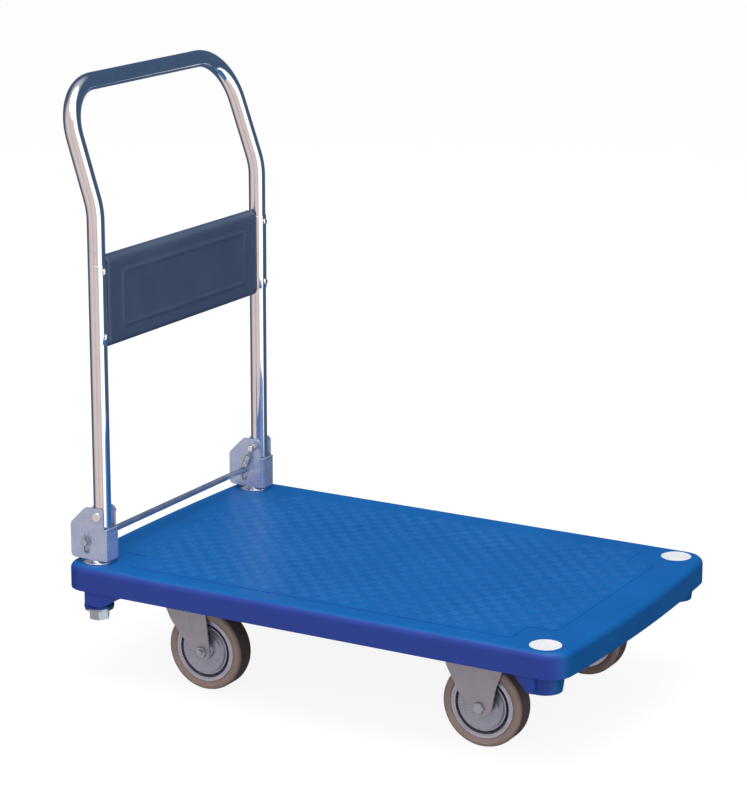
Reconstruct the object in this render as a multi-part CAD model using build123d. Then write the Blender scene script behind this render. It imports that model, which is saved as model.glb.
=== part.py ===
from build123d import *
import os
from math import asin, atan2, cos, degrees, pi, sin, sqrt

# Folding platform cart: moulded deck, tube handle that folds over the deck, two swivel
# casters at the handle end and two rigid casters at the front.
# Millimetres. +X points from the handle to the front of the deck, +Y is the left side,
# +Z is up and the floor is z = 0. Shapes are drawn about the deck's centre and are shifted
# when they are written, so that the origin is below the middle of the whole cart.

# ---------------------------------------------------------------- driving dimensions
deck_length = 715.0        # over the bulging ends, along the centre line
deck_width = 444.6
deck_rise = 27.2           # caster mounting plane to deck top
skirt_depth = 32.2         # deck top to the lower edge of the skirt
front_bulge = 10.0         # how far the ends bow out
rear_bulge = 7.0
corner_radius = 31.0
top_edge_radius = 8.0
field_rise = 0.6           # raised field for the load, above the deck's border
field_inset_x = 40.5       # field's edge to the deck's corner
field_inset_y = 31.3
field_notch_x = 38.0       # cut out of the field's corners, round the bosses
field_notch_y = 46.0
field_corner = 8.0
skin = 4.0                 # thickness of the deck's top
skirt_wall = 4.0
rib_wall = 3.0
rib_depth = 9.0
rib_columns = 7
rib_rows = 4

boss_inset_x = 32.4        # corner boss centre to the deck's corner
boss_inset_y = 30.2
front_boss = (24.5, 21.2, 23.0)        # radius at the skirt and at the bottom, and the drop
rear_boss = (19.5, 17.0, 28.0)
rear_boss_lip = (19.2, 3.0)            # radius and height of the rim round its bottom
front_ramp = (27.0, 9.0, 20.0)         # ramp beside a boss: its far and near ends from the
rear_ramp = (56.0, 24.0, 18.0)         # boss's axis, and its drop
ramp_inset = 1.2           # ramp's face behind the deck's wall
cap_radius = 19.4
cap_thickness = 2.5

wheel_diameter = 106.0
tyre_width = 33.0
tyre_thickness = 10.9
tyre_shoulder = 7.5
rim_width = 27.0
rim_thickness = 6.0
cover_radius = 32.0
cover_sheet = 1.2
cover_dish = 3.0
cover_lip = 6.0
hub_radius = 12.0
hub_web = 6.0
bush_radius = 7.0
bush_overhang = 0.8        # bush beyond the tyre's face
axle_radius = 4.0
axle_end = 2.5             # thread beyond the nut

wheel_gap = 9.2            # tyre to the underside of the fork's crown
fork_sheet = 2.5
fork_width = 40.5          # over the outsides of the legs
crown_radius = 27.0
crown_thickness = 3.0
crown_back = 24.0          # swivel axis to the rear edge of the crown's straps
crown_front = 5.0          # and their front edge ahead of the axle
swivel_foot = (0.0, 0.0, 11.5)     # round foot's centre about the axle, and its radius
swivel_leg_rear = ((-23.5, 12.0), (-16.0, 27.0), (-3.5, 42.0))  # ahead, below the crown
swivel_tangent_rear = (-9.3, -6.8)     # where the edges meet the foot, about the axle
swivel_tangent_front = (11.2, -2.5)
swivel_leg_front = (5.5, 12.0)     # ahead of the axle, below the crown
rigid_foot = (1.5, 4.5, 15.6)
rigid_leg_rear = ((-46.0, 47.0), (-27.0, 12.0), (-12.2, -3.2))  # about the axle, down the leg
rigid_leg_front = ((16.4, 0.0), (18.6, 13.0), (22.1, 29.0), (27.0, 41.0))
rigid_leg_top = (-46.0, 36.0)      # its ends at the plate
swivel_offset = 30.5       # swivel axis to axle
ball_radius = 3.0
ball_count = 14
ball_circle = 20.0
ball_lift = 5.4            # crown to the balls' plane
bearing_stack = 14.0       # crown to the face that meets the deck
race_width = 12.0
kingpin_radius = 6.0
kingpin_head = 9.0
kingpin_head_height = 4.0

plate_length = 92.0
plate_width = 72.0
plate_thickness = 3.0
plate_hole_x = 36.0        # half the hole spacing
plate_hole_y = 27.4
plate_corner = 8.0
pad_margin = 5.0           # moulded pad beyond the caster plate
screw_radius = 4.0
screw_flats = 13.0
screw_head = 5.0
screw_grip = 17.0          # thread length in the deck

caster_track = 285.0       # wheel centre to wheel centre, across
swivel_inset = 140.0       # rear corner of the deck to the swivel axis
rigid_inset = 132.8        # front corner of the deck to the front axle

tube_radius = 11.1
tube_wall = 1.6
handle_track = 378.2       # between the axes of the two uprights
upright_inset = 41.0       # deck's rear corner to the upright's axis
cart_height = 772.1        # floor to the top of the grip
knee_height = 614.1
grip_setback = 49.6
grip_inset = 3.5           # each arm leans in by this much above the knee
grip_corner_radius = 66.0
knee_radius = 90.0

pivot_above_deck = 62.8
pivot_radius = 4.0
pivot_head_radius = 6.3
pivot_head_thickness = 2.6
pivot_tail = 11.0          # pin beyond the inner plate, for the spring's hook
foot_below_pivot = 30.0

bracket_sheet = 2.4
bracket_side_play = 0.6    # tube to each side plate
bracket_back = 40.0        # pivot axis to the rear edge
bracket_front = 14.6       # pivot axis to the front face of the web
bracket_step = 4.6         # side plate's upper front edge behind the web's face
bracket_top = 73.4         # above the deck
bracket_chamfer = 23.0
web_top = 46.3             # above the deck
bracket_corner = 6.0
collar_height = 5.0
collar_radius = 21.0
collar_hub_radius = 15.0

bolt_radius = 8.0
bolt_flats = 24.0
bolt_head = 13.0
washer_radius = 18.6
washer_thickness = 3.0
clamp_nut_height = 4.0

rod_radius = 4.0
rod_behind_pivot = 16.0
rod_below_pivot = 34.5
rod_travel = 12.0
rod_overhang = 6.0         # rod beyond the outer side plate
rod_washer_radius = 7.0
rod_washer_thickness = 1.2
clip_wire = 1.0
spring_radius = 4.2
spring_wire = 0.9
spring_body = 19.0         # length of the coil, next to the rod's hook
hook_radius = 5.2

panel_bottom = 437.7       # above the floor
panel_height = 115.0
panel_sheet = 3.0
panel_front = 8.0          # front face ahead of the upright's axis
panel_depth = 15.0
panel_frame = 33.0         # plain border beside the raised field
panel_frame_edge = 21.0    # and above and below it
panel_field_rise = 1.6
panel_corner = 10.0
ear_margin = 7.5           # ear's ends inside the panel's top and bottom
ear_sheet = 2.4
ear_wrap = 2.2             # ear's free edge ahead of the upright's axis
rivet_head_radius = 4.2
rivet_head_height = 2.2
rivet_shank_radius = 2.0
rivet_margin = 16.0        # rivet to the panel's top or bottom

running_fit = 0.08         # radial play of a pin in its bush
loose_fit = 0.35           # play between pieces that slide past each other
bolt_play = 0.5            # radial play of a bolt in its hole

# ---------------------------------------------------------------- derived places
wheel_radius = wheel_diameter / 2
crown_bottom = wheel_diameter + wheel_gap
crown_top = crown_bottom + crown_thickness
ball_z = crown_top + ball_lift
caster_height = crown_top + bearing_stack
plate_bottom = caster_height - plate_thickness
deck_top = caster_height + deck_rise
skirt_z = deck_top - skirt_depth
front_boss_z = skirt_z - front_boss[2]
rear_boss_z = skirt_z - rear_boss[2]

corner_x = (deck_length - front_bulge - rear_bulge) / 2
half_width = deck_width / 2
boss_x = corner_x - boss_inset_x
boss_y = half_width - boss_inset_y
swivel_x = -corner_x + swivel_inset
rear_axle_x = swivel_x + swivel_offset
front_axle_x = corner_x - rigid_inset
caster_y = caster_track / 2

upright_x = -corner_x + upright_inset
upright_y = handle_track / 2
grip_z = cart_height - tube_radius
grip_x = upright_x - grip_setback
grip_y = upright_y - grip_inset
pivot_z = deck_top + pivot_above_deck
foot_z = pivot_z - foot_below_pivot

bracket_z = deck_top + collar_height
plate_inner = tube_radius + bracket_side_play
plate_outer = plate_inner + bracket_sheet
clamp_nut_radius = plate_inner - loose_fit
clamp_x = -boss_x                      # clamp bolt's axis, through the rear corner boss
clamp_y = upright_y
rod_x = upright_x - rod_behind_pivot
rod_z = pivot_z - rod_below_pivot
slot_radius = rod_radius + loose_fit

cart_shift = (corner_x + front_bulge - (tube_radius - grip_x)) / -2
SIDES = {"left": 1, "right": -1}


def save(name, shape):
    """Write one node, shifted so that the origin is below the middle of the cart."""
    solids = [Pos(cart_shift, 0, 0) * solid for solid in shape.solids()]
    node = Compound(children=solids) if len(solids) > 1 else solids[0]
    export_step(node, f"parts/{name}.step")


def group(shapes):
    """Identical pieces that share one node, each its own solid."""
    return Compound(children=[solid for shape in shapes for solid in shape.solids()])


def upright_rod(radius, low, high, x=0.0, y=0.0):
    """A cylinder along Z between two heights."""
    return Pos(x, y, low) * extrude(Circle(radius), high - low)


def cross_rod(radius, start, end, x=0.0, z=0.0):
    """A cylinder along Y between two places."""
    return Pos(x, start, z) * Rot(-90, 0, 0) * extrude(Circle(radius), end - start)


def side_plate(sketch, start, end):
    """Extrude a sketch drawn in X and Z from one Y to another."""
    return Pos(0, start, 0) * extrude(Plane.XZ * sketch, start - end)


def turned(points):
    """Revolve a closed outline of (radius, height) about Z."""
    return revolve(Plane.XZ * make_face(Polyline(*points, close=True)), Axis.Z)


def wheel_turned(points):
    """Revolve a closed outline of (radius, width) about Y."""
    return Rot(90, 0, 0) * turned(points)


# ---------------------------------------------------------------- deck
def deck_outline(inset):
    """Plan of the deck, moved in from its outer wall."""
    x = corner_x - inset
    y = half_width - inset
    edges = (
        Line((-x, y), (x, y)),
        ThreePointArc((x, y), (x + front_bulge, 0), (x, -y)),
        Line((x, -y), (-x, -y)),
        ThreePointArc((-x, -y), (-x - rear_bulge, 0), (-x, y)),
    )
    face = make_face(edges)
    return fillet(face.vertices(), corner_radius - inset)


def deck_shell():
    """Outer skin: flat top, rounded upper edge and a skirt all round."""
    block = Pos(0, 0, skirt_z) * extrude(deck_outline(0), skirt_depth)
    block = fillet(block.edges().group_by(Axis.Z)[-1], top_edge_radius)
    hollow = Pos(0, 0, skirt_z) * extrude(deck_outline(skirt_wall), skirt_depth - skin)
    return block - hollow


def deck_field():
    """Raised field with its corners cut out round the bosses."""
    x = corner_x - field_inset_x
    y = half_width - field_inset_y
    plan = Rectangle(2 * x, 2 * y)
    for dx in (-x, x):
        for dy in (-y, y):
            plan -= Pos(dx, dy) * Rectangle(2 * field_notch_x, 2 * field_notch_y)
    plan = fillet(plan.vertices(), field_corner)
    return Pos(0, 0, deck_top) * extrude(plan, field_rise)


def deck_ribs():
    """Ribs under the deck's top, trimmed by the skirt."""
    low = deck_top - skin - rib_depth
    middle = low + rib_depth / 2
    ribs = []
    for i in range(rib_columns):
        x = (i - (rib_columns - 1) / 2) * 2 * boss_x / (rib_columns - 1)
        ribs.append(Pos(x, 0, middle) * Box(rib_wall, deck_width, rib_depth))
    for i in range(rib_rows):
        y = (i - (rib_rows - 1) / 2) * 2 * boss_y / (rib_rows - 1)
        ribs.append(Pos(0, y, middle) * Box(deck_length, rib_wall, rib_depth))
    inside = Pos(0, 0, low) * extrude(deck_outline(skirt_wall), rib_depth)
    return [rib & inside for rib in ribs]


def corner_boss(x, y, boss, ramp):
    """Tapered boss in the +X +Y quarter, with the ramp that carries the skirt down to it."""
    radius, foot_radius, drop = boss
    far, near, ramp_drop = ramp
    low = skirt_z - ramp_drop
    outline = make_face(Polyline(
        (x - far, skirt_z), (x - near, low), (x, low),
        (x, skirt_z + skirt_wall), (x - far, skirt_z + skirt_wall), close=True,
    ))
    wedge = side_plate(outline, y + foot_radius / 2, half_width)
    wedge &= Pos(0, 0, low) * extrude(deck_outline(ramp_inset), deck_top - low)
    cone = turned(((0, skirt_z - drop), (foot_radius, skirt_z - drop), (radius, skirt_z),
                   (radius, deck_top - skin), (0, deck_top - skin)))
    cone = Pos(x, y, 0) * cone
    cone &= Pos(0, 0, skirt_z - drop) * extrude(deck_outline(0), deck_top - skirt_z + drop)
    return cone + wedge


def mirrored(shape, x_sign, y_sign):
    """Copy a shape drawn in the +X +Y quarter into another quarter."""
    if x_sign < 0:
        shape = mirror(shape, Plane.YZ)
    if y_sign < 0:
        shape = mirror(shape, Plane.XZ)
    return shape


def caster_centres():
    """Centre of each caster plate, and the sign of its side."""
    for x in (swivel_x, front_axle_x):
        for sign in SIDES.values():
            yield x, sign * caster_y


def plate_holes():
    """The four screw places about a plate's centre."""
    for dx in (-plate_hole_x, plate_hole_x):
        for dy in (-plate_hole_y, plate_hole_y):
            yield dx, dy


def make_deck():
    pad_height = deck_top - skin - caster_height
    pad_size = (plate_length + 2 * pad_margin, plate_width + 2 * pad_margin)
    deck = deck_shell() + deck_field() + deck_ribs()
    for x, y in caster_centres():
        pad = extrude(RectangleRounded(*pad_size, plate_corner), pad_height)
        deck += Pos(x, y, caster_height) * pad
    lip_radius, lip_height = rear_boss_lip
    for sign in SIDES.values():
        deck += mirrored(corner_boss(boss_x, boss_y, front_boss, front_ramp), 1, sign)
        deck += mirrored(corner_boss(-clamp_x, clamp_y, rear_boss, rear_ramp), -1, sign)
        deck += upright_rod(lip_radius, rear_boss_z, rear_boss_z + lip_height,
                            clamp_x, sign * clamp_y)
    holes = []
    for x, y in caster_centres():
        for dx, dy in plate_holes():
            holes.append(upright_rod(screw_radius, caster_height, caster_height + screw_grip,
                                     x + dx, y + dy))
    for sign in SIDES.values():
        holes.append(upright_rod(cap_radius, deck_top - cap_thickness, deck_top,
                                 boss_x, sign * boss_y))
        holes.append(upright_rod(collar_radius + loose_fit, deck_top, deck_top + field_rise,
                                 clamp_x, sign * clamp_y))
        for x, y, low in ((boss_x, boss_y, front_boss_z), (clamp_x, clamp_y, rear_boss_z)):
            holes.append(upright_rod(bolt_radius + bolt_play, low, deck_top, x, sign * y))
    return deck - holes


def make_corner_cap(sign):
    """Flush plug in the socket at a front corner."""
    cap = upright_rod(cap_radius, deck_top - cap_thickness, deck_top, boss_x, sign * boss_y)
    return fillet(cap.edges().group_by(Axis.Z)[-1], cap_thickness / 5)


# ---------------------------------------------------------------- hinge bracket
def bracket_outline():
    """Side plate in X and Z: stepped front, chamfered upper rear corner."""
    back = upright_x - bracket_back
    front = upright_x + bracket_front
    top = deck_top + bracket_top
    step = front - bracket_step
    outline = make_face(Polyline(
        (back, bracket_z), (front, bracket_z), (front, deck_top + web_top),
        (step, deck_top + web_top), (step, top), (back + bracket_chamfer, top),
        (back, top - bracket_chamfer), close=True,
    ))
    notch = deck_top + web_top
    rounded = [v for v in outline.vertices() if v.X < step + 1 and abs(v.Y - notch) > 1]
    return fillet(rounded, bracket_corner)


def make_bracket(sign):
    """Folded channel: two side plates, a front web and a floor."""
    front = upright_x + bracket_front
    y = sign * upright_y
    plates = [
        side_plate(bracket_outline(), y + plate_inner, y + plate_outer),
        side_plate(bracket_outline(), y - plate_outer, y - plate_inner),
    ]
    web_low = bracket_z
    web_high = deck_top + web_top
    web = Pos(front - bracket_sheet / 2, y, (web_low + web_high) / 2) * Box(
        bracket_sheet, 2 * plate_outer, web_high - web_low)
    floor_back = upright_x - bracket_back + bracket_corner + 1
    floor = Pos((floor_back + front) / 2, y, bracket_z + bracket_sheet / 2) * Box(
        front - floor_back, 2 * plate_inner, bracket_sheet)
    channel = plates[0] + plates[1] + web + floor
    channel = fillet(channel.edges().filter_by(Axis.Z).filter_by_position(
        Axis.X, front - 0.01, front + 0.01), bracket_sheet * 0.9)
    span = 2 * plate_outer + 2
    slot = SlotCenterToCenter(rod_travel, 2 * slot_radius, rotation=90)
    slot_cut = side_plate(Pos(rod_x, rod_z - rod_travel / 2) * slot, y - span / 2, y + span / 2)
    pin_hole = cross_rod(pivot_radius, y - span / 2, y + span / 2, upright_x, pivot_z)
    bolt_hole = upright_rod(bolt_radius + bolt_play, bracket_z, bracket_z + bracket_sheet,
                            clamp_x, sign * clamp_y)
    return channel - slot_cut - pin_hole - bolt_hole


def make_collar(sign):
    """Dished seat between the bracket and the deck."""
    bore = bolt_radius + bolt_play
    rim = collar_height / 3
    profile = make_face((
        Line((bore, 0), (collar_radius, 0)),
        Line((collar_radius, 0), (collar_radius, rim)),
        ThreePointArc((collar_radius, rim),
                      ((collar_radius + collar_hub_radius) / 2 - 1.5, rim + 0.6),
                      (collar_hub_radius, collar_height)),
        Line((collar_hub_radius, collar_height), (bore, collar_height)),
        Line((bore, collar_height), (bore, 0)),
    ))
    return Pos(clamp_x, sign * clamp_y, deck_top) * revolve(Plane.XZ * profile, Axis.Z)


def hex_prism(flats, low, high):
    """Hexagon bar with chamfered ends, along Z."""
    bar = Pos(0, 0, low) * extrude(RegularPolygon(flats / 2, 6, major_radius=False), high - low)
    length = high - low
    corner = flats / sqrt(3)
    cone = turned(((0, low), (corner - 1, low), (corner, low + length / 7),
                   (corner, high - length / 7), (corner - 1, high), (0, high)))
    return bar & cone


def make_clamp_bolts():
    """Bolts that clamp the brackets down, put in from below."""
    low = rear_boss_z - washer_thickness - bolt_head
    high = bracket_z + bracket_sheet + clamp_nut_height
    bolt = hex_prism(bolt_flats, low, low + bolt_head) + upright_rod(bolt_radius, low, high)
    return group(Pos(clamp_x, sign * clamp_y, 0) * bolt for sign in SIDES.values())


def make_clamp_washers():
    low = rear_boss_z - washer_thickness
    ring = upright_rod(washer_radius, low, rear_boss_z)
    ring -= upright_rod(bolt_radius, low, rear_boss_z)
    return group(Pos(clamp_x, sign * clamp_y, 0) * ring for sign in SIDES.values())


def make_clamp_nuts():
    low = bracket_z + bracket_sheet
    high = low + clamp_nut_height
    ring = upright_rod(clamp_nut_radius, low, high) - upright_rod(bolt_radius, low, high)
    return group(Pos(clamp_x, sign * clamp_y, 0) * ring for sign in SIDES.values())


def make_pivot_pin(sign):
    """Headed pin through the bracket; its inner tail holds the spring's hook."""
    y = sign * upright_y
    outer = y + sign * plate_outer
    tail = y - sign * (plate_outer + pivot_tail)
    head_end = outer + sign * pivot_head_thickness
    shank = cross_rod(pivot_radius, min(tail, outer), max(tail, outer), upright_x, pivot_z)
    head = cross_rod(pivot_head_radius, min(outer, head_end), max(outer, head_end),
                     upright_x, pivot_z)
    ends = head.edges().filter_by_position(Axis.Y, head_end - 0.01, head_end + 0.01)
    return shank + fillet(ends, pivot_head_thickness * 0.6)


# ---------------------------------------------------------------- release rod
def make_release_rod():
    reach = upright_y + plate_outer + rod_overhang
    return cross_rod(rod_radius, -reach, reach, rod_x, rod_z)


def make_rod_washers():
    rings = []
    for sign in SIDES.values():
        start = sign * (upright_y + plate_outer + loose_fit)
        end = start + sign * rod_washer_thickness
        span = (min(start, end), max(start, end))
        ring = cross_rod(rod_washer_radius, *span, rod_x, rod_z)
        rings.append(ring - cross_rod(rod_radius, *span, rod_x, rod_z))
    return group(rings)


def make_rod_clips():
    """Split pins outside the washers, one at each end of the rod."""
    clips = []
    for sign in SIDES.values():
        y = sign * (upright_y + plate_outer + loose_fit + rod_washer_thickness + clip_wire)
        ring = Pos(rod_x, y, rod_z) * Rot(90, 0, 0) * Torus(rod_radius + clip_wire, clip_wire)
        leg = upright_rod(clip_wire, rod_z + rod_radius + clip_wire, rod_z + 2.4 * rod_radius,
                          rod_x, y)
        clips.append(ring + leg)
    return group(clips)


def make_release_spring(sign):
    """Extension spring from the pivot pin's tail down to the rod."""
    y = sign * (upright_y - plate_outer - pivot_tail / 2)
    run_x = rod_x - upright_x
    run_z = rod_z - pivot_z
    length = sqrt(run_x**2 + run_z**2)
    coil_end = length - hook_radius - spring_wire / 2
    coil_start = coil_end - spring_body
    cap = 2 * spring_wire                  # closed end the upper hook joins
    spring = upright_rod(spring_radius, coil_start, coil_end)
    spring -= upright_rod(spring_radius - 1.6 * spring_wire, coil_start, coil_end - cap)
    spring += upright_rod(0.7 * spring_wire, hook_radius, coil_end - cap / 2)
    for z in (0, length):
        spring += Pos(0, 0, z) * Rot(90, 0, 0) * Torus(hook_radius, spring_wire)
    lean = degrees(atan2(run_x, run_z))
    return Pos(upright_x, y, pivot_z) * Rot(0, lean, 0) * spring


# ---------------------------------------------------------------- handle
def make_handle_tube():
    """One bent tube: two uprights, a knee that leans back, and the grip across the top."""
    path = FilletPolyline(
        (upright_x, -upright_y, foot_z), (upright_x, -upright_y, knee_height),
        (grip_x, -grip_y, grip_z), (grip_x, grip_y, grip_z),
        (upright_x, upright_y, knee_height), (upright_x, upright_y, foot_z),
        radius=[knee_radius, grip_corner_radius, grip_corner_radius, knee_radius],
    )
    section = Circle(tube_radius) - Circle(tube_radius - tube_wall)
    tube = sweep(Pos(upright_x, -upright_y, foot_z) * section, path)
    reach = upright_y + 2 * tube_radius
    tube -= cross_rod(pivot_radius + running_fit, -reach, reach, upright_x, pivot_z)
    return tube - [rivet_shape(x, y, z, rivet_shank_radius) for x, y, z in rivet_places()]


def rivet_places():
    """Where the rivets cross the tube's front wall."""
    for sign in SIDES.values():
        for z in (panel_bottom + rivet_margin, panel_bottom + panel_height - rivet_margin):
            yield upright_x + tube_radius, sign * upright_y, z


def rivet_shape(x, y, z, radius):
    """A shank along X through the ear and the tube's front wall."""
    return Pos(x - 2 * tube_wall, y, z) * Rot(0, 90, 0) * extrude(
        Circle(radius), 2 * tube_wall + ear_sheet)


def make_panel():
    """Moulded panel between the uprights, with ears that lie over the tubes."""
    front = upright_x + panel_front
    top = panel_bottom + panel_height
    middle = (panel_bottom + top) / 2
    inner = upright_y - tube_radius
    tray = Pos(front - panel_depth / 2, 0, middle) * Box(panel_depth, 2 * inner, panel_height)
    tray = fillet(tray.edges().filter_by(Axis.Y).group_by(Axis.X)[-1], panel_depth / 2)
    hollow = Pos(front - panel_sheet - panel_depth / 2, 0, middle) * Box(
        panel_depth, 2 * (inner - panel_sheet), panel_height - 2 * panel_sheet)
    hollow = fillet(hollow.edges().filter_by(Axis.Y).group_by(Axis.X)[-1],
                    panel_depth / 2 - panel_sheet)
    field = extrude(Plane.YZ * RectangleRounded(
        2 * (inner - panel_frame), panel_height - 2 * panel_frame_edge, panel_corner),
        panel_field_rise)
    panel = tray - hollow + Pos(front, 0, middle) * field
    ear_height = panel_height - 2 * ear_margin
    for sign in SIDES.values():
        sleeve = Pos(upright_x, sign * upright_y, panel_bottom + ear_margin) * extrude(
            Circle(tube_radius + ear_sheet), ear_height)
        wrap = 2 * tube_radius
        front_half = Pos(upright_x + ear_wrap + wrap / 2, sign * upright_y, middle) * Box(
            wrap, 2 * wrap, panel_height)
        panel += sleeve & front_half
    for sign in SIDES.values():
        panel -= upright_rod(tube_radius, panel_bottom, top, upright_x, sign * upright_y)
    return panel - [rivet_shape(x, y, z, rivet_shank_radius) for x, y, z in rivet_places()]


def domed_head(radius, height):
    """Shallow dome standing on z = 0, part of a sphere."""
    sphere = (radius**2 + height**2) / (2 * height)
    half = asin(radius / sphere) / 2
    bulge = (sphere * sin(half), height - sphere + sphere * cos(half))
    edges = (Line((0, 0), (radius, 0)), ThreePointArc((radius, 0), bulge, (0, height)),
             Line((0, height), (0, 0)))
    return revolve(Plane.XZ * make_face(edges), Axis.Z)


def make_panel_rivets():
    rivets = []
    for x, y, z in rivet_places():
        head = Pos(x + ear_sheet, y, z) * Rot(0, 90, 0) * domed_head(
            rivet_head_radius, rivet_head_height)
        rivets.append(rivet_shape(x, y, z, rivet_shank_radius) + head)
    return group(rivets)


# ---------------------------------------------------------------- wheels
def make_tyre():
    inner = wheel_radius - tyre_thickness
    half = tyre_width / 2
    face = make_face(Polyline((inner, -half), (wheel_radius, -half), (wheel_radius, half),
                              (inner, half), close=True))
    outer = [v for v in face.vertices() if v.X > wheel_radius - 1]
    face = fillet(outer, tyre_shoulder)
    return Rot(90, 0, 0) * revolve(Plane.XZ * face, Axis.Z)


def make_wheel_core():
    """Rim, web and hub in one piece, bored for the bush."""
    rim_outer = wheel_radius - tyre_thickness
    rim_inner = rim_outer - rim_thickness
    rim, web, hub = rim_width / 2, hub_web / 2, tyre_width / 2
    return wheel_turned((
        (bush_radius, -hub), (hub_radius, -hub), (hub_radius, -web), (rim_inner, -web),
        (rim_inner, -rim), (rim_outer, -rim), (rim_outer, rim), (rim_inner, rim),
        (rim_inner, web), (hub_radius, web), (hub_radius, hub), (bush_radius, hub),
    ))


def make_wheel_covers():
    """Dished thread guards, one on each face of the wheel."""
    rim = rim_width / 2
    dish = rim - cover_dish
    guard = wheel_turned((
        (hub_radius, dish - cover_sheet), (cover_radius - cover_lip + 1, dish - cover_sheet),
        (cover_radius - cover_sheet, rim - 2 * cover_sheet), (cover_radius, rim - cover_sheet),
        (cover_radius - 1.5, rim), (cover_radius - cover_lip, dish), (hub_radius, dish),
    ))
    return [guard, mirror(guard, Plane.XZ)]


def make_bush():
    half = tyre_width / 2 + bush_overhang
    return cross_rod(bush_radius, -half, half) - cross_rod(axle_radius + running_fit, -half, half)


def make_axle(sign):
    """Hexagon bolt whose head is on the +Y side, or on the -Y side if sign is -1."""
    half = fork_width / 2
    head = hex_prism(screw_flats, half, half + screw_head)
    shank = upright_rod(axle_radius, -half - screw_head - axle_end, half)
    return Rot(-90 * sign, 0, 0) * (head + shank)


def make_axle_nut(sign):
    half = fork_width / 2
    nut = hex_prism(screw_flats, -half - screw_head, -half)
    return Rot(-90 * sign, 0, 0) * (nut - upright_rod(axle_radius, -half - screw_head, -half))


# ---------------------------------------------------------------- casters
def fork_legs(outline):
    """Two parallel legs cut from one side outline, bored for the axle."""
    half = fork_width / 2
    legs = side_plate(outline, half - fork_sheet, half)
    legs += side_plate(outline, -half, -half + fork_sheet)
    return legs


def leg_outline(axle_x, foot, edges):
    """Leg outline: its edges, drawn down one side and up the other, and its round foot."""
    ahead, above, radius = foot
    arm = make_face(Polyline(*edges, close=True))
    return arm + Pos(axle_x + ahead, wheel_radius + above) * Circle(radius)


def about_axle(axle_x, points):
    """Points given ahead of the axle and above it."""
    return [(axle_x + ahead, wheel_radius + above) for ahead, above in points]


def swivel_leg_outline():
    """Leg that sweeps forward from the crown to the axle, about the swivel axis."""
    rear = [(-crown_back, crown_top)] + [(x, crown_bottom - z) for x, z in swivel_leg_rear]
    round_foot = about_axle(swivel_offset, (swivel_tangent_rear, swivel_tangent_front))
    ahead, below = swivel_leg_front
    front = [(swivel_offset + ahead, crown_bottom - below),
             (swivel_offset + crown_front, crown_top)]
    return leg_outline(swivel_offset, swivel_foot, rear + round_foot + front)


def rigid_leg_outline():
    """Leg that narrows from the plate to the axle, about the axle."""
    back, ahead = rigid_leg_top
    edges = about_axle(0, rigid_leg_rear + rigid_leg_front)
    return leg_outline(0, rigid_foot, [(back, plate_bottom), *edges, (ahead, plate_bottom)])


def make_swivel_fork():
    fork = fork_legs(swivel_leg_outline())
    fork += upright_rod(crown_radius, crown_bottom, crown_top)
    reach = swivel_offset + crown_front
    fork += Pos((reach - crown_back) / 2, 0, (crown_bottom + crown_top) / 2) * Box(
        reach + crown_back, fork_width, crown_thickness)
    fork += upright_rod(ball_circle + race_width / 2, crown_top, ball_z - loose_fit)
    fork -= upright_rod(ball_circle - race_width / 2, crown_top, ball_z)
    fork -= upright_rod(kingpin_radius + running_fit, crown_bottom, crown_top)
    fork -= Pos(0, 0, ball_z) * Torus(ball_circle, ball_radius + loose_fit)
    return fork - cross_rod(axle_radius, -fork_width, fork_width, swivel_offset, wheel_radius)


def caster_plate():
    plate = Pos(0, 0, plate_bottom) * extrude(
        RectangleRounded(plate_length, plate_width, plate_corner), plate_thickness)
    return plate - [upright_rod(screw_radius, plate_bottom, caster_height, dx, dy)
                    for dx, dy in plate_holes()]


def make_swivel_plate():
    race = upright_rod(ball_circle + race_width / 2, ball_z + loose_fit, plate_bottom)
    race -= upright_rod(ball_circle - race_width / 2, ball_z, plate_bottom)
    race -= Pos(0, 0, ball_z) * Torus(ball_circle, ball_radius + loose_fit)
    return caster_plate() + race - upright_rod(kingpin_radius, plate_bottom, caster_height)


def make_swivel_balls():
    balls = []
    for i in range(ball_count):
        angle = 2 * pi * i / ball_count
        balls.append(Pos(ball_circle * cos(angle), ball_circle * sin(angle), ball_z)
                     * Sphere(ball_radius))
    return group(balls)


def make_kingpin():
    """Riveted pin: flush in the plate, headed below the fork's crown."""
    low = crown_bottom - loose_fit
    return upright_rod(kingpin_radius, low, caster_height) + upright_rod(
        kingpin_head, low - kingpin_head_height, low)


def make_rigid_fork():
    fork = caster_plate() + fork_legs(rigid_leg_outline())
    return fork - cross_rod(axle_radius, -fork_width, fork_width, 0, wheel_radius)


def make_caster_screws():
    """Every screw that holds a caster plate to the deck."""
    screw = hex_prism(screw_flats, plate_bottom - screw_head, plate_bottom)
    screw += upright_rod(screw_radius, plate_bottom, caster_height + screw_grip)
    return group(Pos(x + dx, y + dy, 0) * screw
                 for x, y in caster_centres() for dx, dy in plate_holes())


def save_wheel(place, x, y, sign):
    """Nodes of one wheel and its axle."""
    centre = Pos(x, y, wheel_radius)
    save(f"tyre_{place}", centre * make_tyre())
    save(f"wheel_core_{place}", centre * make_wheel_core())
    save(f"wheel_covers_{place}", group(centre * guard for guard in make_wheel_covers()))
    save(f"wheel_bush_{place}", centre * make_bush())
    head_side = sign if place.startswith("front") else -sign
    save(f"axle_bolt_{place}", centre * make_axle(head_side))
    save(f"axle_nut_{place}", centre * make_axle_nut(head_side))


# ---------------------------------------------------------------- the whole cart
os.makedirs("parts", exist_ok=True)

save("deck", make_deck())
save("clamp_bolts", make_clamp_bolts())
save("clamp_washers", make_clamp_washers())
save("clamp_nuts", make_clamp_nuts())
save("release_rod", make_release_rod())
save("rod_washers", make_rod_washers())
save("rod_clips", make_rod_clips())
save("handle_tube", make_handle_tube())
save("handle_panel", make_panel())
save("panel_rivets", make_panel_rivets())
save("caster_screws", make_caster_screws())

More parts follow.
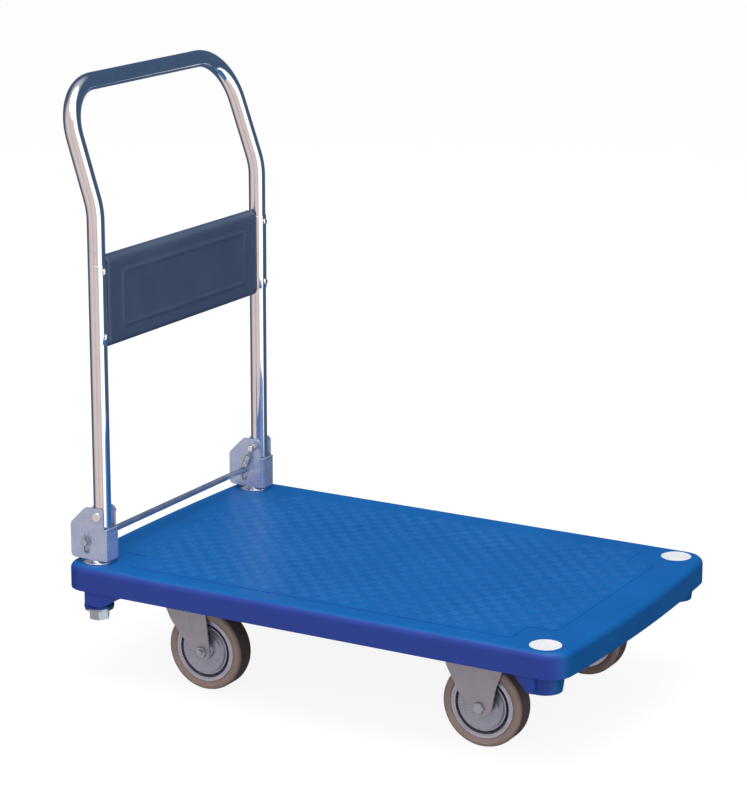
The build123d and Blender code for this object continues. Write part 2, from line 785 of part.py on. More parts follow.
for side, sign in SIDES.items():
    save(f"corner_cap_{side}", make_corner_cap(sign))
    save(f"hinge_bracket_{side}", make_bracket(sign))
    save(f"bracket_collar_{side}", make_collar(sign))
    save(f"pivot_pin_{side}", make_pivot_pin(sign))
    save(f"release_spring_{side}", make_release_spring(sign))

    swivel = Pos(swivel_x, sign * caster_y, 0)
    save(f"swivel_plate_{side}", swivel * make_swivel_plate())
    save(f"swivel_balls_{side}", group([swivel * make_swivel_balls()]))
    save(f"kingpin_{side}", swivel * make_kingpin())
    save(f"swivel_fork_{side}", swivel * make_swivel_fork())
    save_wheel(f"rear_{side}", rear_axle_x, sign * caster_y, sign)

    save(f"rigid_fork_{side}", Pos(front_axle_x, sign * caster_y, 0) * make_rigid_fork())
    save_wheel(f"front_{side}", front_axle_x, sign * caster_y, sign)
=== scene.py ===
from math import acos, cos, pi, radians, sin, sqrt, tan

import bmesh
import bpy
from mathutils import Matrix, Vector


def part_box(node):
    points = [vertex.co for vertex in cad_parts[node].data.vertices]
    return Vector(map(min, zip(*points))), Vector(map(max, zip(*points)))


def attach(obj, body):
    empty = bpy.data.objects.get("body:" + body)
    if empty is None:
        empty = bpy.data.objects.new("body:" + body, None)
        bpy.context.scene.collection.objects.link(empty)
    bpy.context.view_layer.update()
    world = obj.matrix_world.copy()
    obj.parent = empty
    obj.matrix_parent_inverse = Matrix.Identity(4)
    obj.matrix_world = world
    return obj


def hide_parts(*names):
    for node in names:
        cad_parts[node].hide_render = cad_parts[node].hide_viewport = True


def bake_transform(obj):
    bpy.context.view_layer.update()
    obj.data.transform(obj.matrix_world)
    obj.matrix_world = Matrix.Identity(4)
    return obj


# Looks of the folding platform cart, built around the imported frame. Metres, row frame.
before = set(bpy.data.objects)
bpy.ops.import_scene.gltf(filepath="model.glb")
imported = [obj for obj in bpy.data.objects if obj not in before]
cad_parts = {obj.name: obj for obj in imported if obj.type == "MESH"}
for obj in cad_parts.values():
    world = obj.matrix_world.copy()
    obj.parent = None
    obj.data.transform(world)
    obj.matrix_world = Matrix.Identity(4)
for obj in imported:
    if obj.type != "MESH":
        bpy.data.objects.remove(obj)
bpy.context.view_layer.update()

MM = 0.001
SIDES = {"left": 1, "right": -1}
WHEELS = [f"{end}_{side}" for end in ("rear", "front") for side in SIDES]

# ---------------------------------------------------------------- places, from the frame


def middle(node):
    low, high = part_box(node)
    return (low + high) / 2


TUBE_RADIUS = 11.1 * MM
TUBE_WALL = 1.6 * MM
KNEE_RADIUS = 90 * MM
GRIP_CORNER_RADIUS = 66 * MM
tube_low, tube_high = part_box("handle_tube")
upright_x = tube_high.x - TUBE_RADIUS
upright_y = tube_high.y - TUBE_RADIUS
foot_z = tube_low.z
grip_x = tube_low.x + TUBE_RADIUS
grip_z = tube_high.z - TUBE_RADIUS
GRIP_INSET = 3.5 * MM         # each arm leans in above the knee
ARM_HEIGHT = 146.9 * MM       # from the knee up to the grip
knee_z = grip_z - ARM_HEIGHT

deck_low, deck_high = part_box("deck")
FIELD_RISE = 0.6 * MM
field_z = deck_high.z
deck_top = field_z - FIELD_RISE
rod_place = middle("release_rod")
pivot_z = middle("pivot_pin_left").z
swivel_place = {side: middle(f"kingpin_{side}") for side in SIDES}
wheel_place = {place: middle(f"wheel_core_{place}") for place in WHEELS}
wheel_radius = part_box("tyre_front_left")[1].z / 2


# ---------------------------------------------------------------- node materials
class Nodes:
    """Small helper that adds and links the nodes of one material or world."""

    def __init__(self, tree):
        self.tree = tree
        self.tree.nodes.clear()

    def add(self, kind, inputs=None, **settings):
        node = self.tree.nodes.new(kind)
        for key, value in settings.items():
            setattr(node, key, value)
        for key, value in (inputs or {}).items():
            self.set(node, key, value)
        return node

    def set(self, node, key, value):
        socket = node.inputs[key]
        if isinstance(value, bpy.types.NodeSocket):
            self.tree.links.new(value, socket)
        else:
            socket.default_value = value

    def ramp(self, fac, stops, smooth=False):
        node = self.add("ShaderNodeValToRGB", {"Fac": fac})
        elements = node.color_ramp.elements
        node.color_ramp.interpolation = "EASE" if smooth else "LINEAR"
        for index, (position, value) in enumerate(stops):
            element = elements[index] if index < 2 else elements.new(position)
            element.position = position
            colour = value if isinstance(value, tuple) else (value, value, value)
            element.color = (*colour, 1)
        return node.outputs["Color"]

    def math(self, operation, a, b=0.0):
        node = self.add("ShaderNodeMath", {0: a, 1: b}, operation=operation)
        return node.outputs[0]


def mixed(nodes, fac, a, b):
    """Mix two colours; the Mix node's colour sockets share names with its others."""
    node = nodes.tree.nodes.new("ShaderNodeMix")
    node.data_type = "RGBA"
    for socket, value in ((node.inputs[0], fac), (node.inputs[6], a), (node.inputs[7], b)):
        if isinstance(value, bpy.types.NodeSocket):
            nodes.tree.links.new(value, socket)
        else:
            socket.default_value = (*value, 1) if isinstance(value, tuple) else value
    return node.outputs[2]


def surface(name, colours, roughness, metallic=0.0, cloud=18.0, grain=900.0, bump=0.02,
            specular=0.5, coat=0.0, streaks=None, edge=0.0, stain_and_painted_shade=None):
    """Principled material: cloudy colour between two tones, uneven gloss and a fine grain.

    The optional colour hook, called as hook(nodes, place, colour, clouds), may change the colour
    with real stains or with painted shade, and returns it."""
    material = bpy.data.materials.new(name)
    material.use_nodes = True
    nodes = Nodes(material.node_tree)
    place = nodes.add("ShaderNodeTexCoord").outputs["Object"]
    clouds = nodes.add("ShaderNodeTexNoise", {"Vector": place, "Scale": cloud, "Detail": 4.0,
                                              "Roughness": 0.6}).outputs["Fac"]
    fine = nodes.add("ShaderNodeTexNoise", {"Vector": place, "Scale": grain,
                                            "Detail": 3.0}).outputs["Fac"]
    if streaks:
        stretched = nodes.add("ShaderNodeMapping", {"Vector": place, "Scale": streaks})
        fine = nodes.add("ShaderNodeTexNoise", {"Vector": stretched.outputs[0],
                                                "Scale": 1.0, "Detail": 4.0}).outputs["Fac"]
    colour = nodes.ramp(clouds, ((0.3, colours[0]), (0.72, colours[1])))
    # the colour hook adds real stains on metals, or painted shade on the deck's long walls and
    # the tyre tread
    if stain_and_painted_shade:
        colour = stain_and_painted_shade(nodes, place, colour, clouds)
    low, high = roughness
    gloss = nodes.ramp(nodes.math("ADD", nodes.math("MULTIPLY", clouds, 0.6),
                                  nodes.math("MULTIPLY", fine, 0.4)),
                       ((0.35, low), (0.68, high)))
    shader = nodes.add("ShaderNodeBsdfPrincipled", {
        "Base Color": colour, "Roughness": gloss, "Metallic": metallic,
        "Specular IOR Level": specular, "Coat Weight": coat, "Coat Roughness": 0.08})
    relief = nodes.add("ShaderNodeBump", {"Height": fine, "Strength": bump, "Distance": 0.0004})
    if edge:
        soft = nodes.add("ShaderNodeBevel", {"Radius": edge}, samples=4)
        nodes.set(relief, "Normal", soft.outputs[0])
    nodes.set(shader, "Normal", relief.outputs[0])
    out = nodes.add("ShaderNodeOutputMaterial")
    nodes.set(out, "Surface", shader.outputs[0])
    return material


def painted_wall_shade(nodes, place, colour, clouds):
    """Painted shade: the deck's long walls are painted a deeper, more violet blue than the rest,
    picked out by the way each face points.
    """
    normal = nodes.add("ShaderNodeTexCoord").outputs["Normal"]
    sideways = nodes.add("ShaderNodeSeparateXYZ", {"Vector": normal}).outputs["Y"]
    # painted shade: the deeper violet blue laid on faces that point sideways (along Y), mixed in
    # by the mask below
    wall = nodes.ramp(clouds, ((0.3, (0.024, 0.056, 0.330)), (0.7, (0.028, 0.064, 0.355))))
    wall_shade_mask = nodes.ramp(nodes.math("ABSOLUTE", sideways), ((0.35, 0.0), (0.9, 1.0)))
    return mixed(nodes, wall_shade_mask, colour, wall)


def tread_shade_and_specks(nodes, place, colour, clouds):
    """Painted shade: the rolling surface is painted dark, with a ragged edge; dirt specks give
    the speckled sidewall.
    """
    parts = nodes.add("ShaderNodeSeparateXYZ", {"Vector": place})
    across = nodes.math("ABSOLUTE", parts.outputs["Y"])
    across = nodes.math("ADD", across, nodes.math("MULTIPLY", clouds, 0.0022))
    # painted shade: a dark band round the tread, where |y| is small, with a cloudy edge
    tread_shade_mask = nodes.ramp(nodes.math("MULTIPLY", across, 60.0), ((0.62, 1.0), (0.86, 0.0)), True)
    colour = mixed(nodes, tread_shade_mask, colour, (0.105, 0.078, 0.068))
    specks = nodes.add("ShaderNodeTexNoise", {"Vector": place, "Scale": 420.0,
                                              "Detail": 2.0}).outputs["Fac"]
    dirt = nodes.ramp(specks, ((0.66, 0.0), (0.74, 0.55)))
    return mixed(nodes, dirt, colour, (0.10, 0.075, 0.065))


def smudged(nodes, place, colour, clouds):
    """Faint finger marks and water stains on bright metal."""
    marks = nodes.add("ShaderNodeTexNoise", {"Vector": place, "Scale": 55.0, "Detail": 6.0,
                                             "Distortion": 1.2}).outputs["Fac"]
    return mixed(nodes, nodes.ramp(marks, ((0.55, 0.0), (0.75, 0.18))), colour,
                 (0.42, 0.40, 0.40))


BLUES = ((0.004, 0.112, 0.385), (0.007, 0.138, 0.440))
FINISHES = {
    # the deck's long walls get painted shade from the colour hook
    "deck_plastic": surface("deck_plastic", BLUES, (0.30, 0.42), cloud=7.0, grain=1400.0,
                            bump=0.10, specular=0.22, stain_and_painted_shade=painted_wall_shade),
    "tread_plastic": surface("tread_plastic", ((0.008, 0.125, 0.410), (0.016, 0.150, 0.455)),
                             (0.28, 0.38), cloud=9.0, grain=1400.0, bump=0.10, specular=0.3),
    "cap_plastic": surface("cap_plastic", ((0.84, 0.87, 0.88), (0.93, 0.94, 0.94)),
                           (0.30, 0.42), cloud=40.0, bump=0.05),
    "panel_plastic": surface("panel_plastic", ((0.052, 0.080, 0.140), (0.066, 0.096, 0.160)),
                             (0.42, 0.55), cloud=14.0, grain=1800.0, bump=0.22),
    "chrome": surface("chrome", ((0.80, 0.79, 0.80), (0.86, 0.85, 0.86)), (0.04, 0.10),
                      metallic=1.0, cloud=26.0, grain=60.0, bump=0.05, stain_and_painted_shade=smudged),
    "bright_plate": surface("bright_plate", ((0.78, 0.79, 0.82), (0.90, 0.91, 0.93)),
                            (0.10, 0.22), metallic=1.0, cloud=60.0, grain=700.0, bump=0.04,
                            edge=0.0005),
    "bracket_zinc": surface("bracket_zinc", ((0.42, 0.52, 0.72), (0.52, 0.61, 0.80)),
                            (0.22, 0.36), metallic=0.6, cloud=45.0, grain=1200.0, bump=0.06,
                            edge=0.0006, stain_and_painted_shade=smudged),
    "caster_zinc": surface("caster_zinc", ((0.34, 0.355, 0.41), (0.42, 0.43, 0.48)),
                           (0.32, 0.48), metallic=0.55, cloud=50.0, bump=0.10,
                           streaks=(700.0, 700.0, 40.0), edge=0.0006),
    "wheel_steel": surface("wheel_steel", ((0.30, 0.34, 0.43), (0.40, 0.44, 0.53)),
                           (0.22, 0.36), metallic=0.7, cloud=60.0, grain=900.0, bump=0.08,
                           stain_and_painted_shade=smudged),
    "ring_steel": surface("ring_steel", ((0.40, 0.44, 0.54), (0.52, 0.56, 0.66)),
                          (0.20, 0.32), metallic=0.7, cloud=60.0, grain=900.0, bump=0.05),
    "fastener_zinc": surface("fastener_zinc", ((0.34, 0.38, 0.46), (0.46, 0.50, 0.58)),
                             (0.20, 0.32), metallic=0.8, cloud=90.0, grain=1100.0, bump=0.06,
                             edge=0.0005),
    "rod_zinc": surface("rod_zinc", ((0.40, 0.47, 0.60), (0.52, 0.59, 0.72)), (0.24, 0.36),
                        metallic=0.85, cloud=50.0, grain=900.0, bump=0.05),
    "spring_steel": surface("spring_steel", ((0.52, 0.54, 0.58), (0.68, 0.70, 0.74)),
                            (0.20, 0.32), metallic=0.8, cloud=120.0, bump=0.04),
    # the tread's dark band is painted shade from the colour hook; the specks are dirt
    "tyre_rubber": surface("tyre_rubber", ((0.320, 0.245, 0.220), (0.390, 0.305, 0.275)),
                           (0.55, 0.72), cloud=70.0, grain=1500.0, bump=0.30, specular=0.35,
                           stain_and_painted_shade=tread_shade_and_specks),
    "bush_nylon": surface("bush_nylon", ((0.70, 0.69, 0.64), (0.80, 0.79, 0.74)), (0.40, 0.52),
                          cloud=120.0, bump=0.08),
}


def finish(obj, material):
    """Give an object one material, whether or not it has a slot yet."""
    if not obj.material_slots:
        obj.data.materials.append(FINISHES[material])
    for holder in obj.material_slots:
        holder.material = FINISHES[material]


# ---------------------------------------------------------------- mesh helpers
def piece(name, mesh, body, material, stands_for=(), place=None, sharp=35.0):
    """Put a mesh into the scene, smooth it, and tie it to its CAD body."""
    obj = bpy.data.objects.new(name, mesh)
    bpy.context.scene.collection.objects.link(obj)
    if place is not None:
        obj.location = place
    mesh.validate()
    mesh.shade_smooth()
    mesh.set_sharp_from_angle(angle=radians(sharp))
    finish(obj, material)
    if body:
        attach(obj, body)
    if stands_for:
        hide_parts(*stands_for)
    return obj


def raw_mesh(name, verts, faces):
    mesh = bpy.data.meshes.new(name)
    mesh.from_pydata([tuple(v) for v in verts], [], faces)
    mesh.update()
    return mesh


def outward(mesh):
    """Make every face of a closed mesh look outwards."""
    bm = bmesh.new()
    bm.from_mesh(mesh)
    bmesh.ops.recalc_face_normals(bm, faces=bm.faces)
    bm.to_mesh(mesh)
    bm.free()
    return mesh


def joined(name, meshes):
    """One mesh from several."""
    bm = bmesh.new()
    for mesh in meshes:
        bm.from_mesh(mesh)
    result = bpy.data.meshes.new(name)
    bm.to_mesh(result)
    bm.free()
    return result


def moved(mesh, matrix):
    mesh.transform(matrix)
    if matrix.determinant() < 0:
        mesh.flip_normals()
    return mesh


def rounded(points, closed=True, steps=6):
    """Round a path's corners. Each point is a vector and its corner radius."""
    path = []
    count = len(points)
    for i, (corner, radius) in enumerate(points):
        corner = Vector(corner)
        inside = closed or 0 < i < count - 1
        if not inside or radius <= 0:
            path.append(corner)
            continue
        before = Vector(points[i - 1][0]) - corner
        after = Vector(points[(i + 1) % count][0]) - corner
        half = before.angle(after) / 2
        reach = min(radius / tan(half), before.length * 0.499, after.length * 0.499)
        start = corner + before.normalized() * reach
        end = corner + after.normalized() * reach
        fit = reach * tan(half)
        bisector = (before.normalized() + after.normalized()).normalized()
        centre = corner + bisector * (fit / sin(half))
        a, b = start - centre, end - centre
        turn = acos(max(-1.0, min(1.0, a.dot(b) / (a.length * b.length))))
        for k in range(steps + 1):
            t = k / steps
            path.append(centre + (a * sin((1 - t) * turn) + b * sin(t * turn)) / sin(turn))
    return path


def lathe(name, outline, segments=96):
    """Turn a closed outline of (radius, along Y) about the Y axis."""
    count = len(outline)
    verts, faces = [], []
    for k in range(segments):
        angle = 2 * pi * k / segments
        for radius, along in outline:
            verts.append((radius * cos(angle), along, radius * sin(angle)))
    for k in range(segments):
        following = (k + 1) % segments
        for i in range(count):
            j = (i + 1) % count
            faces.append((k * count + i, k * count + j, following * count + j,
                          following * count + i))
    return outward(raw_mesh(name, verts, faces))


def flat(points):
    """Outline points in two coordinates, from (x, y, corner radius) rows."""
    path = rounded([((x, y, 0.0), radius) for x, y, radius in points])
    return [(p.x, p.y) for p in path]


def upright(mesh):
    """Turn something lathed about Y so that it stands along Z."""
    return moved(mesh, Matrix.Rotation(radians(90), 4, "X"))


def sweep(name, path, radius, segments=32, wall=0.0, closed=False):
    """Tube along a path, hollow if it has a wall."""
    count = len(path)
    tangents = []
    for i in range(count):
        a = path[i - 1] if closed or i > 0 else path[i]
        b = path[(i + 1) % count] if closed or i < count - 1 else path[i]
        tangents.append((b - a).normalized())
    guide = tangents[0].orthogonal().normalized()
    verts, faces = [], []
    rings = (radius, radius - wall) if wall else (radius,)
    for i in range(count):
        guide = (guide - tangents[i] * guide.dot(tangents[i])).normalized()
        other = tangents[i].cross(guide)
        for ring in rings:
            for k in range(segments):
                angle = 2 * pi * k / segments
                verts.append(path[i] + (guide * cos(angle) + other * sin(angle)) * ring)
    stride = segments * len(rings)
    spans = count if closed else count - 1
    for i in range(spans):
        here, there = i * stride, ((i + 1) % count) * stride
        for layer in range(len(rings)):
            for k in range(segments):
                a = here + layer * segments + k
                b = here + layer * segments + (k + 1) % segments
                faces.append((a, b, b - here + there, a - here + there))
    if not closed:
        for base in (0, (count - 1) * stride):
            if wall:
                for k in range(segments):
                    a, b = base + k, base + (k + 1) % segments
                    faces.append((a, b, b + segments, a + segments))
            else:
                faces.append(tuple(base + k for k in range(segments)))
    return outward(raw_mesh(name, verts, faces))


def plate(name, outline, thickness, soften, holes=()):
    """Flat plate in XY with softened edges, its middle at z = 0."""
    curve = bpy.data.curves.new(name, "CURVE")
    curve.dimensions = "2D"
    curve.fill_mode = "BOTH"
    curve.extrude = thickness / 2 - soften
    curve.bevel_depth = soften
    curve.bevel_resolution = 2
    curve.offset = -soften
    for loop in (outline, *holes):
        spline = curve.splines.new("POLY")
        spline.points.add(len(loop) - 1)
        for point, (x, y) in zip(spline.points, loop):
            point.co = (x, y, 0, 1)
        spline.use_cyclic_u = True
    holder = bpy.data.objects.new(name, curve)
    bpy.context.scene.collection.objects.link(holder)
    bpy.context.view_layer.update()
    evaluated = holder.evaluated_get(bpy.context.evaluated_depsgraph_get())
    mesh = bpy.data.meshes.new_from_object(evaluated)
    bpy.data.objects.remove(holder)
    mesh.materials.clear()
    bm = bmesh.new()
    bm.from_mesh(mesh)
    bmesh.ops.remove_doubles(bm, verts=bm.verts, dist=1e-6)
    bmesh.ops.recalc_face_normals(bm, faces=bm.faces)
    bm.to_mesh(mesh)
    bm.free()
    return mesh


def ring_points(x, y, radius, count=32):
    return [(x + radius * cos(2 * pi * k / count), y + radius * sin(2 * pi * k / count))
            for k in range(count)]


def pressed(name, outline, holes, cell, shape, thickness):
    """Sheet metal part: a flat blank is cut into small cells and bent by shape(u, v)."""
    bm = bmesh.new()
    for loop in (outline, *holes):
        ends = [bm.verts.new((u, v, 0)) for u, v in loop]
        for a, b in zip(ends, ends[1:] + ends[:1]):
            bm.edges.new((a, b))
    bmesh.ops.triangle_fill(bm, use_beauty=True, edges=bm.edges[:])
    for axis in (0, 1):
        values = [v.co[axis] for v in bm.verts]
        low, high = min(values), max(values)
        steps = int((high - low) / cell)
        normal = Vector((1, 0, 0)) if axis == 0 else Vector((0, 1, 0))
        for k in range(1, steps):
            at = normal * (low + (high - low) * k / steps)
            bmesh.ops.bisect_plane(bm, geom=bm.verts[:] + bm.edges[:] + bm.faces[:],
                                   dist=1e-6, plane_co=at, plane_no=normal)
    bmesh.ops.remove_doubles(bm, verts=bm.verts, dist=5e-5)
    for vert in bm.verts:
        vert.co = shape(vert.co.x, vert.co.y)
    bmesh.ops.recalc_face_normals(bm, faces=bm.faces)
    bmesh.ops.solidify(bm, geom=bm.faces[:], thickness=thickness)
    bmesh.ops.recalc_face_normals(bm, faces=bm.faces)
    mesh = bpy.data.meshes.new(name)
    bm.to_mesh(mesh)
    bm.free()
    return mesh


def soft_step(value, low, high):
    t = max(0.0, min(1.0, (value - low) / (high - low)))
    return t * t * (3 - 2 * t)


# ---------------------------------------------------------------- deck
CELL_X, CELL_Y = 13.6 * MM, 14.5 * MM
FIELD_X, FIELD_Y = 308.5 * MM, 191.0 * MM
NOTCH_X, NOTCH_Y = 38.0 * MM, 46.0 * MM
PAD_RISE = 0.45 * MM
deck_x = (deck_low.x + deck_high.x) / 2


def tread_pads():
    """Chequered field of soft raised squares, left out round the four bosses."""
    verts, faces = [], []
    rings = ((0.500, 0.0), (0.470, 0.55), (0.430, 0.9), (0.30, 1.0))
    columns = int(2 * FIELD_X / CELL_X) - 1
    rows = int(2 * FIELD_Y / CELL_Y) - 1
    for i in range(columns):
        for j in range(rows):
            x = (i - (columns - 1) / 2) * CELL_X
            y = (j - (rows - 1) / 2) * CELL_Y
            in_notch = abs(x) > FIELD_X - NOTCH_X - CELL_X / 2 and (
                abs(y) > FIELD_Y - NOTCH_Y - CELL_Y / 2)
            if (i + j) % 2 or in_notch:
                continue
            first = len(verts)
            for share, rise in rings:
                for sx, sy in ((-1, -1), (1, -1), (1, 1), (-1, 1)):
                    verts.append((deck_x + x + sx * share * CELL_X, y + sy * share * CELL_Y,
                                  field_z + rise * PAD_RISE))
            for ring in range(len(rings) - 1):
                for k in range(4):
                    a, b = first + 4 * ring + k, first + 4 * ring + (k + 1) % 4
                    faces.append((a, b, b + 4, a + 4))
            last = first + 4 * (len(rings) - 1)
            faces.append((last, last + 1, last + 2, last + 3))
    return raw_mesh("deck_tread", verts, faces)


piece("deck_tread", tread_pads(), "base", "tread_plastic", sharp=80)
finish(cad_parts["deck"], "deck_plastic")

# ---------------------------------------------------------------- handle


def handle_path():
    """Centre line of the bent tube, from one foot to the other."""
    corners = [
        ((upright_x, -upright_y, foot_z), 0), ((upright_x, -upright_y, knee_z), KNEE_RADIUS),
        ((grip_x, GRIP_INSET - upright_y, grip_z), GRIP_CORNER_RADIUS),
        ((grip_x, upright_y - GRIP_INSET, grip_z), GRIP_CORNER_RADIUS),
        ((upright_x, upright_y, knee_z), KNEE_RADIUS), ((upright_x, upright_y, foot_z), 0)]
    return rounded(corners, closed=False, steps=24)


piece("handle_bar", sweep("handle_bar", handle_path(), TUBE_RADIUS, 64, TUBE_WALL), "handle",
      "chrome", stands_for=["handle_tube"], sharp=60)

panel_low, panel_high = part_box("handle_panel")
PANEL_FRONT = 8.0 * MM        # ahead of the uprights' axes
PANEL_DEPTH = 15.0 * MM
PANEL_SHEET = 2.6 * MM
PANEL_ROLL = 7.5 * MM
PANEL_HALF = 175.5 * MM
FIELD_EDGE_Y = 145.0 * MM
FIELD_EDGE_Z = 21.0 * MM      # in from the panel's top and bottom
FIELD_EDGE_RADIUS = 10.0 * MM
BEAD_RISE = 1.3 * MM
END_TUCK, END_TUCK_RUN = 2.0 * MM, 3.0 * MM


def panel_shape(u, v):
    """Bend the panel's blank: rolled back at the top and bottom, with a raised field."""
    half = (panel_high.z - panel_low.z) / 2
    quarter = PANEL_ROLL * pi / 2
    straight = half - PANEL_ROLL
    side = 1 if v > 0 else -1
    run = abs(v) - straight
    face = upright_x + PANEL_FRONT
    if run < 0:
        x, z = face, v
    elif run < quarter:
        angle = run / PANEL_ROLL
        x = face - PANEL_ROLL * (1 - cos(angle))
        z = side * (straight + PANEL_ROLL * sin(angle))
    else:
        x, z = face - PANEL_ROLL - (run - quarter), side * half
    across = abs(u) - (FIELD_EDGE_Y - FIELD_EDGE_RADIUS)
    along = abs(v) - (half - FIELD_EDGE_Z - FIELD_EDGE_RADIUS)
    reach = sqrt(max(across, 0) ** 2 + max(along, 0) ** 2) + min(max(across, along), 0)
    inset = FIELD_EDGE_RADIUS - reach
    x += BEAD_RISE * soft_step(inset, -1.0 * MM, 1.2 * MM)
    x -= 0.7 * BEAD_RISE * soft_step(inset, 2.4 * MM, 5.0 * MM)
    x -= END_TUCK * soft_step(abs(u), PANEL_HALF - END_TUCK_RUN, PANEL_HALF)
    return Vector((x, u, (panel_low.z + panel_high.z) / 2 + z))


def panel_blank():
    half = (panel_high.z - panel_low.z) / 2
    flat_half = half - PANEL_ROLL + PANEL_ROLL * pi / 2 + (PANEL_DEPTH - PANEL_ROLL)
    return flat([(-PANEL_HALF, -flat_half, 1.5 * MM), (PANEL_HALF, -flat_half, 1.5 * MM),
                 (PANEL_HALF, flat_half, 1.5 * MM), (-PANEL_HALF, flat_half, 1.5 * MM)])


panel_mesh = pressed("panel", panel_blank(), (), 2.2 * MM, panel_shape, PANEL_SHEET)
piece("back_panel", panel_mesh, "handle", "panel_plastic", stands_for=["handle_panel"],
      sharp=50)

EAR_SHEET = 0.9 * MM
EAR_MARGIN = 7.5 * MM
EAR_FRONT = 78.0              # degrees round the tube, each way from the front
EAR_BITE = 0.1 * MM           # the strap's back lies this far into the tube
EAR_STEPS = 24


def panel_ears():
    """Thin straps over the fronts of the tubes that carry the panel."""
    meshes = []
    low, high = panel_low.z + EAR_MARGIN, panel_high.z - EAR_MARGIN
    for sign in SIDES.values():
        outer, inner = [], []
        for k in range(EAR_STEPS + 1):
            angle = radians(-EAR_FRONT + 2 * EAR_FRONT * k / EAR_STEPS)
            outer.append(((TUBE_RADIUS + EAR_SHEET) * cos(angle),
                          (TUBE_RADIUS + EAR_SHEET) * sin(angle)))
            inner.append(((TUBE_RADIUS - EAR_BITE) * cos(angle),
                          (TUBE_RADIUS - EAR_BITE) * sin(angle)))
        strap = plate("ear", outer + inner[::-1], high - low, 0.25 * MM)
        meshes.append(moved(strap, Matrix.Translation(
            (upright_x, sign * upright_y, (low + high) / 2))))
    return joined("panel_ears", meshes)


piece("panel_ears", panel_ears(), "handle", "chrome", sharp=40)

RIVET_RADIUS, RIVET_HEIGHT = 4.2 * MM, 2.4 * MM
RIVET_MARGIN, RIVET_RIM = 16.0 * MM, 0.5 * MM


def dome(name, radius, height, rim):
    """Domed head that stands on z = 0, with a short rim."""
    outline = [(0.02 * MM, 0.0), (radius, 0.0), (radius, rim)]
    for k in range(1, 9):
        angle = k / 9 * pi / 2
        outline.append((radius * cos(angle), rim + (height - rim) * sin(angle)))
    outline.append((0.02 * MM, height))
    return upright(lathe(name, outline, 32))


def rivet_heads():
    """Domed rivets through the panel's straps, two on each upright."""
    rivets = []
    turn = Matrix.Rotation(radians(-90), 4, "Y") @ Matrix.Rotation(pi, 4, "X")
    for sign in SIDES.values():
        for z in (panel_low.z + RIVET_MARGIN, panel_high.z - RIVET_MARGIN):
            seat = Matrix.Translation((upright_x + TUBE_RADIUS + EAR_SHEET,
                                       sign * upright_y, z))
            head = dome("rivet", RIVET_RADIUS, RIVET_HEIGHT, RIVET_RIM)
            rivets.append(moved(head, seat @ turn))
    return joined("rivet_heads", rivets)


piece("rivet_heads", rivet_heads(), "handle", "bright_plate", stands_for=["panel_rivets"])

# ---------------------------------------------------------------- hinge brackets
BRACKET_SHEET = 2.4 * MM
BRACKET_OUT = 14.1 * MM       # half the width over the side plates
BRACKET_BEND = 3.4 * MM
BRACKET_STEP = 4.6 * MM
BRACKET_CHAMFER = 23.0 * MM
WEB_TOP = 46.3 * MM
LIP_HEIGHT, LIP_REACH = 2.4 * MM, 0.9 * MM
SLOT_RADIUS, SLOT_TRAVEL = 4.35 * MM, 12.0 * MM
CLAMP_HOLE = 8.5 * MM         # radius, through the bracket's seat and the collar
PIN_RADIUS = 4.05 * MM


def bracket_piece(side, sign):
    """Folded channel: the blank is bent round its two front corners."""
    low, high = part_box(f"hinge_bracket_{side}")
    front, back = high.x, low.x
    length = front - back
    arc = (BRACKET_BEND - BRACKET_SHEET / 2) * pi / 2
    web_half = BRACKET_OUT - BRACKET_BEND
    fold = web_half + arc - BRACKET_BEND
    web_top = deck_top + WEB_TOP

    def across(depth):
        return fold + depth

    half = [
        (across(BRACKET_STEP), web_top, 1.5 * MM), (across(BRACKET_STEP), high.z, 5.0 * MM),
        (across(length - BRACKET_CHAMFER), high.z, 7.0 * MM),
        (across(length), high.z - BRACKET_CHAMFER, 7.0 * MM),
        (across(length), low.z, 6.0 * MM)]
    outline = flat([(u, z, r) for u, z, r in half] + [(-u, z, r) for u, z, r in half[::-1]])

    def shape(u, z):
        size, way = abs(u), (1 if u > 0 else -1)
        if size <= web_half:
            x, y = front, size
            nx, ny = 1.0, 0.0
        elif size <= web_half + arc:
            angle = (size - web_half) / arc * pi / 2
            x = front - BRACKET_BEND * (1 - cos(angle))
            y = web_half + BRACKET_BEND * sin(angle)
            nx, ny = cos(angle), sin(angle)
        else:
            x, y = front - BRACKET_BEND - (size - web_half - arc), BRACKET_OUT
            nx, ny = 0.0, 1.0
        lip = LIP_REACH * soft_step(z, web_top - LIP_HEIGHT, web_top) if size < across(
            BRACKET_STEP) else 0.0
        x += lip * nx
        y += 0.4 * lip * ny
        return Vector((x, sign * upright_y + way * y, z))

    def hole(u, z, radius, stretch=0.0):
        ends = []
        for k in range(32):
            angle = 2 * pi * k / 32
            shift = -stretch if sin(angle) < 0 else 0.0
            ends.append((u + radius * cos(angle), z + radius * sin(angle) + shift))
        return ends

    holes = []
    for way in (1, -1):
        holes.append(hole(way * across(front - upright_x), pivot_z, PIN_RADIUS))
        holes.append(hole(way * across(front - rod_place.x), rod_place.z, SLOT_RADIUS,
                          SLOT_TRAVEL))
    sheet = pressed("bracket", outline, holes, 2.2 * MM, shape, BRACKET_SHEET)
    x0, x1 = back + 7 * MM, front - BRACKET_SHEET
    y1 = BRACKET_OUT - BRACKET_SHEET + 0.2 * MM
    bolt = middle(f"bracket_collar_{side}")
    seat = plate("seat", flat([(x0, -y1, 3 * MM), (x1, -y1, 1 * MM), (x1, y1, 1 * MM),
                               (x0, y1, 3 * MM)]), BRACKET_SHEET, 0.4 * MM,
                 [ring_points(bolt.x, 0.0, CLAMP_HOLE)])
    seat = moved(seat, Matrix.Translation((0, sign * upright_y, low.z + BRACKET_SHEET / 2)))
    piece(f"bracket_channel_{side}", joined("bracket", [sheet, seat]), "base", "bracket_zinc",
          stands_for=[f"hinge_bracket_{side}"], sharp=40)


COLLAR_RADIUS, COLLAR_HUB = 21.0 * MM, 15.0 * MM


